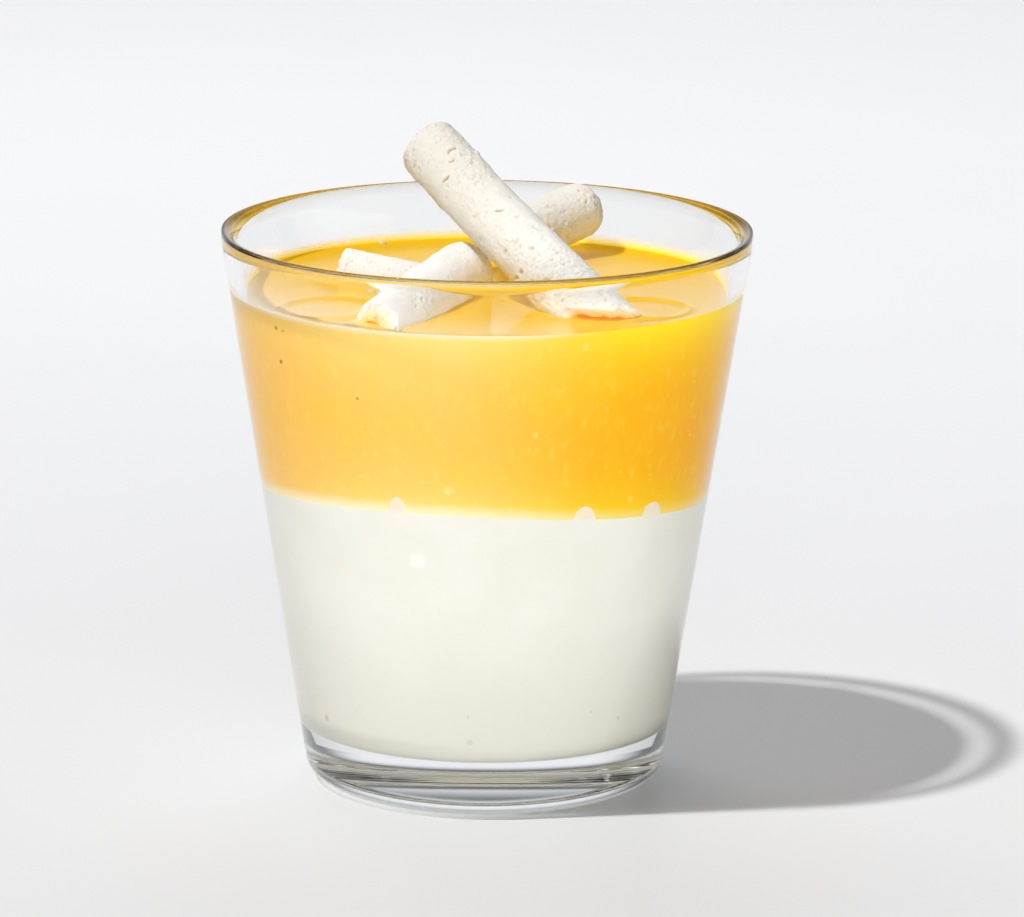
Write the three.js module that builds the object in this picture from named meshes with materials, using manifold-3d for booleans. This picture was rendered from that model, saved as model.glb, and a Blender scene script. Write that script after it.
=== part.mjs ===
// A layered dessert in its tapered clear glass: panna cotta below, fruit coulis above,
// and four broken meringue sticks lying and leaning on top.
// Millimetres, +Z up. The origin is the centre of the glass's foot, and the front faces -Y.
import * as THREE from 'three';
import { mergeVertices } from 'three/addons/utils/BufferGeometryUtils.js';
import Module from 'manifold-3d';

const wasm = await Module();
wasm.setup();

// Glass: a straight tapered wall with a round lip, a thick foot and a shallow hollow under it.
// The lip's top lies at a share of the wall's thickness, measured from the outside.
const GLASS_HEIGHT = 80;
const RIM_RADIUS = 38;
const FOOT_RADIUS = 25.3;
const WALL = 2.2;
const LIP_TALL = 2.2;
const LIP_PEAK = 0.15;
const FLOOR_HEIGHT = 8.2;
const FLOOR_CORNER = 4;
const HEEL_ROUND = 3.8;
const PUNT_RADIUS = 18.5;
const PUNT_DEPTH = 0.9;
const PUNT_STEPS = 4;
const ARC_STEPS = 5;
const LIP_STEPS = 8;
const SIDES = 64;

// Layers: the clearance round each one, the uneven line between them and the coulis's level
const GAP = 0.3;
const CREAM_LEVEL = 43;
const CREAM_TILT = 1.9;
const CREAM_SWAY = 0.6;
const CREAM_HIGH_BEARING = THREE.MathUtils.degToRad(-107);
const LAYER_RINGS = 4;
const COULIS_LEVEL = 71.3;
const MENISCUS_RISE = 0.65;
const MENISCUS_REACH = 3.6;
const MENISCUS_BEND = 1 / 3;

// Meringue sticks: each runs from its foot to its tip and bows out halfway by a vector.
// A bore above 0 leaves a broken, hollow foot, with the hollow set off the axis by [up, side].
// A slant tilts the foot, in millimetres of length for each millimetre [up, side].
const PLAIN_STICK = { bow: [0, 0, 0], bore: 0, boreShift: [0, 0], footSlant: [0, 0] };
const STICKS = [
  {
    ...PLAIN_STICK,
    name: 'meringue_stick_leaning',
    foot: [16.5, -20.4, 70.4],
    tip: [-8.7, 7, 90.7],
    bow: [-0.3, 0, -0.3],
    footRadius: 4.65,
    tipRadius: 4.5,
    bore: 2.9,
    boreShift: [-0.5, 0.2],
    footSlant: [-0.45, -0.4],
    tipRound: 0.5,
    seed: 11,
  },
  {
    ...PLAIN_STICK,
    name: 'meringue_stick_front',
    foot: [-14.6, -27.4, 70.6],
    tip: [-2.8, 1.2, 73.9],
    footRadius: 4.5,
    tipRadius: 4.45,
    bore: 2.3,
    boreShift: [-0.9, -0.9],
    footSlant: [0, -0.55],
    tipRound: 1.6,
    seed: 23,
  },
  {
    ...PLAIN_STICK,
    name: 'meringue_stick_left',
    foot: [-21.3, 6.2, 71.6],
    tip: [-8.4, -6.8, 71.7],
    footRadius: 4.4,
    tipRadius: 4.3,
    footSlant: [0.3, 0.85],
    tipRound: 0.6,
    seed: 37,
  },
  {
    ...PLAIN_STICK,
    name: 'meringue_stick_back',
    foot: [2.2, 17.9, 74],
    tip: [15.5, 27.9, 78.5],
    footRadius: 4,
    tipRadius: 4.1,
    tipRound: 3.2,
    seed: 41,
  },
];
const LEFT_STICK = STICKS[2];
const FRONT_STICK = STICKS[1];
const STICK_SIDES = 24;
const STATION_SPACING = 3;
const FOOT_ROUND = 0.6;
const BORE_DEPTH = 6;
const BORE_END_RISE = 1;
const BORE_END_SHARE = 0.7;
const SLANT_REACH = 7;
const TIP_STEPS = 3;
const RELIEF = 0.04;
const LUMPS_ROUND = [2, 3, 1, 4];
const LUMP_TURN_LEAST = 0.12;
const LUMP_TURN_SPREAD = 0.35;
const BREAK_RELIEF = 0.18;
const BREAK_REACH = 3;
const BREAK_TEETH = [3, 5];

// Repeatable random numbers: a multiplicative generator
const RANDOM_FACTOR = 16807;
const RANDOM_MODULUS = 2147483647;
const SEED_STEP = 7919;

const MERGE_DISTANCE = 1e-4;

const TAPER = (RIM_RADIUS - FOOT_RADIUS) / GLASS_HEIGHT;
const LEAN = Math.atan(TAPER);
const DOWN = -Math.PI / 2;

// Radius at a height, set in from the outer wall by a distance measured square to it.
function wallRadius(height, inset) {
  return FOOT_RADIUS + TAPER * height - inset / Math.cos(LEAN);
}

// Points [radius, height] along an arc in the profile's plane.
function arc(centreRadius, centreHeight, radius, from, to, steps) {
  const points = [];
  for (let i = 0; i <= steps; i += 1) {
    const angle = from + ((to - from) * i) / steps;
    points.push([centreRadius + radius * Math.cos(angle), centreHeight + radius * Math.sin(angle)]);
  }
  return points;
}

// The round corner between a level floor and the wall, as seen from inside the glass.
function floorCorner(floor, inset, radius) {
  const height = floor + radius;
  return [wallRadius(height, inset) - radius / Math.cos(LEAN), height, radius];
}

// Turn a profile of [radius, height] about +Z; a rule may then move each [radius, bearing, height].
function turned(profile, sides, rule) {
  const geometry = new THREE.LatheGeometry(
    profile.map(([radius, height]) => new THREE.Vector2(radius, height)),
    sides,
  );
  geometry.rotateX(Math.PI / 2);
  if (!rule) {
    return geometry;
  }
  const position = geometry.attributes.position;
  for (let i = 0; i < position.count; i += 1) {
    const x = position.getX(i);
    const y = position.getY(i);
    const bearing = Math.atan2(y, x);
    const [radius, height] = rule(Math.hypot(x, y), bearing, position.getZ(i));
    position.setXYZ(i, radius * Math.cos(bearing), radius * Math.sin(bearing), height);
  }
  geometry.computeVertexNormals();
  return geometry;
}

// A closed solid for joining and cutting, in the mesh's parent frame.
function solidOf(mesh) {
  mesh.updateMatrix();
  const placed = mesh.geometry.clone().applyMatrix4(mesh.matrix);
  placed.deleteAttribute('normal');
  placed.deleteAttribute('uv');
  const merged = mergeVertices(placed, MERGE_DISTANCE);
  return new wasm.Manifold(new wasm.Mesh({
    numProp: 3,
    vertProperties: merged.attributes.position.array,
    triVerts: new Uint32Array(merged.index.array),
  }));
}

// Cut the tools out of a mesh, which keeps its own place.
function cut(mesh, tools) {
  const left = tools.reduce((body, tool) => body.subtract(solidOf(tool)), solidOf(mesh));
  const { vertProperties, triVerts } = left.getMesh();
  const geometry = new THREE.BufferGeometry();
  geometry.setAttribute('position', new THREE.BufferAttribute(vertProperties, 3));
  geometry.setIndex(new THREE.BufferAttribute(triVerts, 1));
  geometry.applyMatrix4(mesh.matrix.clone().invert());
  geometry.computeVertexNormals();
  mesh.geometry = geometry;
}

function named(name, geometry, material) {
  const mesh = new THREE.Mesh(geometry, material);
  mesh.name = name;
  return mesh;
}

// Points over the lip, from the outer wall to the inner wall.
function lip() {
  const start = GLASS_HEIGHT - LIP_TALL;
  const points = [];
  for (let i = 0; i <= LIP_STEPS; i += 1) {
    const angle = (Math.PI * i) / LIP_STEPS;
    const outer = LIP_PEAK * (1 - Math.max(Math.cos(angle), 0));
    const inner = (1 - LIP_PEAK) * Math.max(-Math.cos(angle), 0);
    const height = start + LIP_TALL * Math.sin(angle);
    points.push([wallRadius(height, WALL * (outer + inner)), height]);
  }
  return points;
}

function glass() {
  const profile = [];
  for (let i = 0; i < PUNT_STEPS; i += 1) {
    const out = i / PUNT_STEPS;
    profile.push([PUNT_RADIUS * out, PUNT_DEPTH * (1 - out * out)]);
  }
  profile.push([PUNT_RADIUS, 0]);
  const heel = wallRadius(HEEL_ROUND, HEEL_ROUND);
  profile.push(...arc(heel, HEEL_ROUND, HEEL_ROUND, DOWN, -LEAN, ARC_STEPS));
  profile.push(...lip());
  profile.push(...arc(...floorCorner(FLOOR_HEIGHT, WALL, FLOOR_CORNER), -LEAN, DOWN, ARC_STEPS));
  profile.push([0, FLOOR_HEIGHT]);
  return named('glass', turned(profile, SIDES), new THREE.MeshStandardMaterial({
    color: 0xf1f5f4,
    roughness: 0.05,
    metalness: 0,
    transparent: true,
    opacity: 0.3,
  }));
}

// How far the line between the layers stands above its mean level, at the wall.
function creamSwell(bearing) {
  const turn = bearing - CREAM_HIGH_BEARING;
  return CREAM_TILT * Math.cos(turn) + CREAM_SWAY * Math.cos(2 * turn);
}

// Lift a point of the surface between the layers, fading to level at the axis and staying on the wall.
function onSwell(radius, bearing, height) {
  const edge = wallRadius(height, WALL + GAP);
  const rise = creamSwell(bearing) * (radius / edge) ** 2;
  return [radius * (1 + (TAPER * rise) / edge), height + rise];
}

// Points across a level face, from the wall towards the axis.
function acrossFrom(edge, height) {
  const points = [];
  for (let i = 0; i <= LAYER_RINGS; i += 1) {
    points.push([edge * (1 - i / LAYER_RINGS), height]);
  }
  return points;
}

function pannaCotta() {
  const floor = FLOOR_HEIGHT + GAP;
  const profile = [
    [0, floor],
    ...arc(...floorCorner(floor, WALL + GAP, FLOOR_CORNER - GAP), DOWN, -LEAN, ARC_STEPS),
    ...acrossFrom(wallRadius(CREAM_LEVEL, WALL + GAP), CREAM_LEVEL),
  ];
  const rule = (radius, bearing, height) => (
    height < CREAM_LEVEL - GAP ? [radius, height] : onSwell(radius, bearing, height)
  );
  return named('panna_cotta', turned(profile, SIDES, rule), new THREE.MeshStandardMaterial({
    color: 0xf3eddb,
    roughness: 0.45,
    metalness: 0,
  }));
}

function fruitCoulis() {
  const bottom = CREAM_LEVEL + GAP;
  const top = COULIS_LEVEL + MENISCUS_RISE;
  const edge = wallRadius(top, WALL + GAP);
  const profile = [
    ...acrossFrom(wallRadius(bottom, WALL + GAP), bottom).reverse(),
    [edge, top],
    [edge - MENISCUS_REACH * MENISCUS_BEND, COULIS_LEVEL + MENISCUS_RISE * MENISCUS_BEND],
    ...acrossFrom(edge - MENISCUS_REACH, COULIS_LEVEL),
  ];
  const rule = (radius, bearing, height) => (
    height > bottom + GAP ? [radius, height] : onSwell(radius, bearing, height)
  );
  return named('fruit_coulis', turned(profile, SIDES, rule), new THREE.MeshStandardMaterial({
    color: 0xf3b02a,
    roughness: 0.25,
    metalness: 0,
  }));
}

// Repeatable random numbers from 0 to 1.
function seeded(seed) {
  let state = seed;
  return () => {
    state = (state * RANDOM_FACTOR) % RANDOM_MODULUS;
    return state / RANDOM_MODULUS;
  };
}

// Uneven skin of a piped and baked stick: broad lumps along and round it, and a ragged foot.
function stickSkin(stick) {
  const random = seeded(stick.seed * SEED_STEP);
  const waves = LUMPS_ROUND.map((round) => ({
    round,
    along: LUMP_TURN_LEAST + LUMP_TURN_SPREAD * random(),
    shift: 2 * Math.PI * random(),
  }));
  const teeth = BREAK_TEETH.map((round) => ({ round, shift: 2 * Math.PI * random() }));
  return (radius, bearing, height) => {
    const lumps = waves.reduce(
      (sum, wave) => sum + Math.sin(wave.round * bearing + wave.along * height + wave.shift),
      0,
    );
    const ragged = teeth.reduce((sum, tooth) => sum + Math.sin(tooth.round * bearing + tooth.shift), 0);
    const fade = Math.max(0, 1 - Math.abs(height) / BREAK_REACH);
    const out = radius / stick.footRadius;
    return [radius + RELIEF * lumps * out, height + BREAK_RELIEF * ragged * fade * out];
  };
}

// Where a stick lies: its foot, its length and the turn that takes +Z along it.
// Its up and side directions are given as they are before that turn.
function stickPose(stick) {
  const foot = new THREE.Vector3(...stick.foot);
  const run = new THREE.Vector3(...stick.tip).sub(foot);
  const length = run.length();
  const vertical = new THREE.Vector3(0, 0, 1);
  const turn = new THREE.Quaternion().setFromUnitVectors(vertical, run.normalize());
  const side = new THREE.Vector3().crossVectors(run, vertical).normalize();
  const up = new THREE.Vector3().crossVectors(side, run);
  const back = turn.clone().invert();
  return { foot, length, turn, back, up: up.applyQuaternion(back), side: side.applyQuaternion(back) };
}

// A stick's profile along +Z from its foot at 0; grow moves every face outwards by that much.
function stickProfile(stick, length, grow) {
  const top = length + grow;
  const radiusAt = (height) => THREE.MathUtils.mapLinear(
    height,
    0,
    length,
    stick.footRadius,
    stick.tipRadius,
  ) + grow;
  const profile = [];
  if (stick.bore > 0) {
    const bore = stick.bore - grow;
    const depth = BORE_DEPTH - grow;
    profile.push([0, depth], [BORE_END_SHARE * bore, depth - BORE_END_RISE]);
    profile.push([bore, depth / 2], [bore + FOOT_ROUND / 2, -grow]);
  } else {
    profile.push([0, -grow], [stick.footRadius / 2, -grow]);
  }
  profile.push([radiusAt(0) - FOOT_ROUND, -grow]);
  const run = top - FOOT_ROUND - stick.tipRound;
  const stations = Math.round(run / STATION_SPACING);
  for (let i = 0; i <= stations; i += 1) {
    const height = FOOT_ROUND + (run * i) / stations;
    profile.push([radiusAt(height), height]);
  }
  const shoulder = radiusAt(length) - stick.tipRound;
  profile.push(...arc(shoulder, top - stick.tipRound, stick.tipRound, 0, -DOWN, TIP_STEPS).slice(1));
  profile.push([0, top]);
  return profile;
}

// Bow a stick, slant its foot and set its hollow off the axis.
function bendStick(geometry, stick, pose) {
  const { up, side } = pose;
  const bow = new THREE.Vector3(...stick.bow).applyQuaternion(pose.back);
  const [shiftUp, shiftSide] = stick.boreShift;
  const [slantUp, slantSide] = stick.footSlant;
  const position = geometry.attributes.position;
  for (let i = 0; i < position.count; i += 1) {
    const x = position.getX(i);
    const y = position.getY(i);
    const height = position.getZ(i);
    const swing = Math.sin(Math.PI * THREE.MathUtils.clamp(height / pose.length, 0, 1));
    const inBore = Math.hypot(x, y) < stick.bore + FOOT_ROUND && height < BORE_DEPTH + GAP;
    const shift = inBore ? 1 : 0;
    const slant = slantUp * (x * up.x + y * up.y) + slantSide * (x * side.x + y * side.y);
    position.setXYZ(
      i,
      x + bow.x * swing + (shiftUp * up.x + shiftSide * side.x) * shift,
      y + bow.y * swing + (shiftUp * up.y + shiftSide * side.y) * shift,
      height + slant * (1 - THREE.MathUtils.smoothstep(height, 0, SLANT_REACH)),
    );
  }
  geometry.computeVertexNormals();
}

function meringueStick(stick, grow) {
  const pose = stickPose(stick);
  const geometry = turned(stickProfile(stick, pose.length, grow), STICK_SIDES, stickSkin(stick));
  bendStick(geometry, stick, pose);
  const mesh = named(stick.name, geometry, new THREE.MeshStandardMaterial({
    color: 0xf7f2e8,
    roughness: 0.85,
    metalness: 0,
  }));
  mesh.position.copy(pose.foot);
  mesh.quaternion.copy(pose.turn);
  return mesh;
}

const sticks = STICKS.map((stick) => meringueStick(stick, 0));
cut(sticks[STICKS.indexOf(LEFT_STICK)], [meringueStick(FRONT_STICK, GAP)]);

const coulis = fruitCoulis();
cut(coulis, STICKS.map((stick) => meringueStick(stick, GAP)));

const verrine = new THREE.Group();
verrine.name = 'verrine';
verrine.add(glass(), pannaCotta(), coulis, ...sticks);

export default verrine;
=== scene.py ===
import math

import bpy
import numpy as np
from mathutils import Matrix, Vector


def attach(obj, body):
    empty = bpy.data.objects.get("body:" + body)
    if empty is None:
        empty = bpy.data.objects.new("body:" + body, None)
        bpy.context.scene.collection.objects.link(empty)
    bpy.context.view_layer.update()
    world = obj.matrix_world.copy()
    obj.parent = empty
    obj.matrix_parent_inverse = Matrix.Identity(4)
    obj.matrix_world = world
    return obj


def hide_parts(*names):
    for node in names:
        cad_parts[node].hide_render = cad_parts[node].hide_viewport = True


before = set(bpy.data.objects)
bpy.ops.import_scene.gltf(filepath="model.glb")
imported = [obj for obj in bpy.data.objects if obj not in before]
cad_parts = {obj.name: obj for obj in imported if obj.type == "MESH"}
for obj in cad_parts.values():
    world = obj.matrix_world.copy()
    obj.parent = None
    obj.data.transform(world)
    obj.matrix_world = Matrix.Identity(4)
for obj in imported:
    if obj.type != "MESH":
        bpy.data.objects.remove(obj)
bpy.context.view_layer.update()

# A dessert in its glass: panna cotta, fruit coulis and broken meringue sticks.
# Sizes are in millimetres in the solids' own frame; MM turns them into metres.
MM = 0.001

# Glass
GLASS_HEIGHT = 80
RIM_RADIUS = 38
FOOT_RADIUS = 25.3
WALL = 2.2
LIP_TALL = 2.2
LIP_PEAK = 0.15
LIP_SHADE = 5.5
LIP_SHADE_FADE = 1.5
# Painted shade on the lip's top, for the dark room seen through it: how tall it is inside and outside
# the peak, how much is left at the back, and over which shares of the bearing's sine it fades there
LIP_PAINTED_SHADE_TALL = 1.3
LIP_PAINTED_SHADE_OUTSIDE = 0.7
LIP_PAINTED_SHADE_BACK = 0.25
LIP_BACK = (0.1, 0.6)
FLOOR_HEIGHT = 8.2
FLOOR_CORNER = 4
HEEL_ROUND = 3.8
PUNT_RADIUS = 18.5
PUNT_DEPTH = 0.9
GLASS_SIDES = 288
TAPER = (RIM_RADIUS - FOOT_RADIUS) / GLASS_HEIGHT
LEAN = math.atan(TAPER)

# Layers: both reach a little way into the wall, the cream by a hair more
CREAM_REACH = 0.16
COULIS_REACH = 0.12
CREAM_LEVEL = 43
CREAM_TILT = 1.9
CREAM_SWAY = 0.6
CREAM_HIGH_BEARING = math.radians(-107)
CREAM_EDGE_RIPPLE = 0.09
RIPPLE_RING = 29
RIPPLE_SIZE = 2.4
SWELL_REACH = 25
LAYER_OVERLAP = 0.6
LAYER_SIDES = 480
EDGE_HOLD = 0.04
COULIS_LEVEL = 71.3
MENISCUS_RISE = 0.65
MENISCUS_REACH = 3.6
WALL_FILM_START = 0.3
WALL_FILM_LEAST = 0.5
WALL_FILM_TALL = 1.5
WALL_FILM_THICK = 0.25
WALL_FILM_REACH = 0.09
WALL_FILM_BACK = (-0.3, 0.2)
WALL_FILM_FADE = 1.5
WALL_FILM_ROWS = 16
STICK_RISE = 0.5
STICK_RISE_REACH = 1.3
RING_RISE = 0.4
RING_WIDTH = 0.7
RING_SIZE = (6.5, 7.5)
RING_CENTRES = ((21.5, -13.5), (-21.5, -14.5))
SHORE = 4
SURFACE_WAVE = 0.05
SURFACE_WAVE_SIZE = 9
COULIS_SPACING = 0.35
TOP_BAND = 3
TOP_SLOPE = 0.2

# Domes that bubbles left in the line between the layers: bearing in degrees, half width and height
CREAM_DOMES = (
    (-112.7, 1.25, 2.3),
    (-63.3, 1.6, 2),
    (-41.3, 1.9, 2),
)
DOME_DEPTH = 3
DOME_REACH = 6
SURFACE_BUBBLE = (-15.4, 30.4, 0.65)
BUBBLE_SQUASH = 0.8
PALE_SPOT = (-108.0, 38.5, 1.7)

# Painted light and shade of the layers, and their own pale marks: how strong each is and how far it
# reaches, below the top or above the cream
CREAM_LOW_SHADE = (8, 34)
UNDERSIDE_GLOW_TALL = 0.4
PALE_SPOT_SHADE = 0.7
DOME_TINGE = 0.6
DOME_TINGE_RISE = (-0.1, 0.5)
CREAM_GLOW, CREAM_GLOW_REACH = 0.75, 4
EDGE_GLOW, EDGE_GLOW_REACH = 0.85, 6
BACK_GLOW = 0.4
LIT_THROUGH_REACH = 5
PALE_LINE, PALE_LINE_REACH = 0.9, 2
PALE_LINE_SHADED_LOSS = 0.6
TOP_LIGHT = 0.75

# Painted sheen on the coulis, a pale reflection: along the wall, far in from it and down the side, where
# it faces the front
SHEEN, SHEEN_WIDTH = 0.85, 2
SHEEN_INSIDE, SHEEN_INSIDE_WIDTH = 0.24, 18
SHEEN_SIDE, SHEEN_SIDE_TALL = 0.7, 0.7
SHEEN_FRONT = (-0.2, 0.5)
SHEEN_RIGHT = (0.1, 0.5)

# Bearings, from -360 to 0 degrees, over which each painted light and shade of the coulis's side comes up
# and dies away: its glow at the front, its glow lit through from the right and its deeper orange where
# it is in shade
FRONT_UP, FRONT_DOWN = (-150, -105), (-35, 0)
LIT_THROUGH_UP, LIT_THROUGH_DOWN = (-75, -45), (-20, 0)
SHADED_ORANGE_UP, SHADED_ORANGE_DOWN = (-104, -48), (-30, 0)

# Specks seen through the wall: bearing in degrees, height, radius and strength
CREAM_SPECKS = (
    (-147.9, 11.9, 0.7, 0.6),
    (-94.2, 11.6, 0.6, 0.3),
    (-43.7, 13.3, 0.4, 0.4),
    (-55.1, 15.1, 0.35, 0.35),
    (-94.7, 15.4, 0.35, 0.3),
)
DARK_SPECKS = (
    (-145.7, 69.8, 0.4, 0.7),
    (-145.6, 64.9, 0.45, 0.7),
    (-121.6, 61.7, 0.35, 0.6),
    (-143.1, 69.6, 0.3, 0.5),
)
PULP_SPOTS = (
    (-99.0, 49.2, 0.9, 0.6),
    (-66.9, 69.9, 0.7, 0.5),
    (-49.9, 46.6, 0.6, 0.5),
    (-78.0, 57.5, 0.6, 0.4),
    (-118.0, 54.0, 0.6, 0.4),
    (-60.0, 60.5, 0.5, 0.4),
)

# Meringue sticks, from foot to tip. Hollows are set off the axis by (up, side); slants tilt the foot,
# in millimetres of length for each millimetre (up, side). A notch is (bearing, half width, depth).
# Slits are (height, bearing in degrees, half length, turn) and knobs (height, bearing, radius).
# Toast is how far the skin has browned at the foot and at the tip.
STICKS = (
    {
        "name": "leaning",
        "foot": (16.5, -20.4, 70.4),
        "tip": (-8.7, 7, 90.7),
        "bow": (-0.3, 0, -0.3),
        "radii": (4.65, 4.5),
        "bore": 2.9,
        "bore_shift": (-0.5, 0.2),
        "foot_slant": (-0.45, -0.4),
        "notch": (-75, 28, 1.9),
        "tip_round": 0.5,
        "crumb": 1,
        "pits_per_mm2": 0.32,
        "ragged": 1.4,
        "slits": (
            (36.3, -21, 0.96, 0.25),
            (33.2, -69, 0.78, 0),
            (23.1, -37, 0.72, -0.5),
            (34.7, -36, 0.42, 0.2),
        ),
        "knobs": ((34.9, 26, 0.5), (1.8, 70, 0.7), (3.4, 60, 0.5)),
        "toast": (0.4, 1),
        "seed": 11,
    },
    {
        "name": "front",
        "foot": (-14.6, -27.4, 70.6),
        "tip": (-2.8, 1.2, 73.9),
        "bow": (0, 0, 0),
        "radii": (4.5, 4.45),
        "bore": 2.3,
        "bore_shift": (-0.9, -0.9),
        "foot_slant": (0, -0.55),
        "notch": None,
        "tip_round": 1.6,
        "crumb": 0.7,
        "pits_per_mm2": 0.08,
        "ragged": 1.7,
        "slits": (),
        "knobs": (),
        "toast": (0, 0),
        "seed": 23,
    },
    {
        "name": "left",
        "foot": (-21.3, 6.2, 71.6),
        "tip": (-8.4, -6.8, 71.7),
        "bow": (0, 0, 0),
        "radii": (4.4, 4.3),
        "bore": 0,
        "bore_shift": (0, 0),
        "foot_slant": (0.3, 0.85),
        "notch": None,
        "tip_round": 0.6,
        "crumb": 1,
        "pits_per_mm2": 0.2,
        "ragged": 0.5,
        "slits": (),
        "knobs": (),
        "toast": (0.45, 0.45),
        "seed": 37,
    },
    {
        "name": "back",
        "foot": (2.2, 17.9, 74),
        "tip": (15.5, 27.9, 78.5),
        "bow": (0, 0, 0),
        "radii": (4, 4.1),
        "bore": 0,
        "bore_shift": (0, 0),
        "foot_slant": (0, 0),
        "notch": None,
        "tip_round": 3.2,
        "crumb": 1.2,
        "pits_per_mm2": 0.2,
        "ragged": 0.6,
        "slits": (),
        "knobs": (),
        "toast": (0.75, 0.85),
        "seed": 41,
    },
)
STICK_SPACING = 0.14
LEAST_RADIUS = 0.02
FOOT_ROUND = 0.5
SLANT_REACH = 7
BREAK_REACH = 3.5
BREAK_SHADE = (-0.4, 0.6)
TOAST_SPAN = (0.15, 0.9)
# Height above the coulis over which the sticks' low parts glow with painted light bounced from it
COULIS_BOUNCE_REACH = 8

# Hollow of a stick: its end is a share of its radius wide and falls short of its full depth by a height,
# its mouth flares in steps of (radius, height), and from its wall to near the stick's edge it is stained
# with coulis and glows with painted light
BORE_DEPTH = 6
BORE_END = (0.75, 0.8)
BORE_MOUTH = ((0.1, 0.3), (0.4, 0))
BORE_STAIN_AND_GLOW = 0.8
BORE_STAIN_EDGE = (0.2, 0.3)

# Pits of the skin, from least to most: half width, length and depth in half widths, and turn
PIT_HALF_WIDTH = (0.1, 0.24)
PIT_LENGTH = (1, 2.2)
PIT_DEPTH = (0.5, 1.1)
PIT_TURN = (-0.9, 0.9)
PIT_BEND = 0.15
COARSE_PATCH = 7
COARSE_FROM = 0.1
COARSE_PITS = 1.4
SLIT_HALF_WIDTH = 0.2
SLIT_DEPTH = 0.6
SLIT_BEND = 0.12
KNOB_TALL = 0.7
# Pits and pocks are painted tan, partly their own browner crumb and partly painted shade, from none to
# full over this depth
PORE_SHADE = (0.03, 0.3)

# Patches of rougher skin, with pocks as (depth, size, shift of the random field, level where they start)
PATCH_SIZE = 4.5
PATCH_SHIFT = 60
PATCH_EDGE = 0.35
POCKS = ((0.08, 0.6, 80, 0.2), (0.12, 0.36, 20, 0.25))
POCK_FULL = 0.7
NUBS_LEAST = 0.4

# Relief of the sticks, in layers of (height, size of its lumps, shift of its random field)
LUMPS = ((0.13, 5.5, 0), (0.08, 2.1, 40))
NUBS = ((0.07, 1.1, 10), (0.06, 0.5, 30), (0.04, 0.3, 50))
BREAK_CRUMB = ((0.4, 1.7, 0), (0.3, 0.75, 40), (0.16, 0.4, 80))
BREAK_EDGE = ((0.5, 2.6, 0), (0.35, 1.1, 20))

# Table: how far it reaches each way, and how far it lies under the foot
TABLE_HALF = 3000
TABLE_DROP = 0.05

# Camera: where it stands, how it is tilted and rolled, and its lens
CAMERA_PLACE = (3.757, -925.683, 260.095)
CAMERA_ELEVATION = math.radians(12.992)
CAMERA_ROLL = math.radians(0.413)
CAMERA_LENS = 233.32
SENSOR_WIDTH = 36

# Light: a hard key, soft boxes as (name, place, aim, width, height, power, colour) and a grey room
KEY_DIRECTION = (-0.445, -0.217, 0.869)
KEY_STRENGTH = 2.55
KEY_ANGLE = math.radians(2.6)
SOFTBOXES = (
    ("front_fill", (250, -1500, 190), (0, 0, 40), 1200, 370, 17.6, (1, 0.995, 0.985)),
    ("back_pool", (-80, 480, 650), (-80, 480, 0), 500, 300, 2.25, (0.97, 0.97, 1)),
)
ROOM_LOW = (0.16, 0.17, 0.178, 1)
ROOM_FRONT = (0.22, 0.23, 0.235, 1)
ROOM_HIGH = (0.18, 0.18, 0.185, 1)
SWEEP = (0.85, 0.86, 0.9, 1)
CEILING = (0.35, 0.65)
FRONT_WALL = (0.1, 0.5)
SWEEP_SIDES = (0.6, 0.9)
SWEEP_TOP = (0.12, 0.42)
# Painted light: emission colours of parts that are no lamps, the cream's underside, the coulis's right
# side and top, the sticks' hollows and their low parts near the coulis
FOOT_LIGHT = (0.26, 0.27, 0.29, 1)
RIGHT_GLOW = (0.16, 0.14, 0.02, 1)
TOP_GLOW = (0.19, 0.105, 0.015, 1)
BORE_GLOW = (0.28, 0.13, 0.01, 1)
LOW_GLOW = (0.13, 0.1, 0.062, 1)
TONE_TOE = ((0.1, 0.045), (0.25, 0.2), (0.45, 0.44))


class Tone:
    """A value or colour over a surface; sums and products of it add Math nodes."""

    def __init__(self, finish, socket):
        self.finish = finish
        self.socket = socket

    def math(self, operation, *values):
        return self.finish.node("ShaderNodeMath", {"operation": operation}, dict(enumerate(values)))

    def __add__(self, other):
        return self.math("ADD", self, other)

    def __radd__(self, other):
        return self.math("ADD", other, self)

    def __sub__(self, other):
        return self.math("SUBTRACT", self, other)

    def __rsub__(self, other):
        return self.math("SUBTRACT", other, self)

    def __mul__(self, other):
        return self.math("MULTIPLY", self, other)

    def __rmul__(self, other):
        return self.math("MULTIPLY", other, self)

    def __truediv__(self, other):
        return self.math("DIVIDE", self, other)

    def step(self, low, high):
        """0 up to low, 1 from high on, and a smooth rise between them."""
        settings = {"interpolation_type": "SMOOTHSTEP"}
        return self.finish.node("ShaderNodeMapRange", settings, {"Value": self, 1: low, 2: high})


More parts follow.
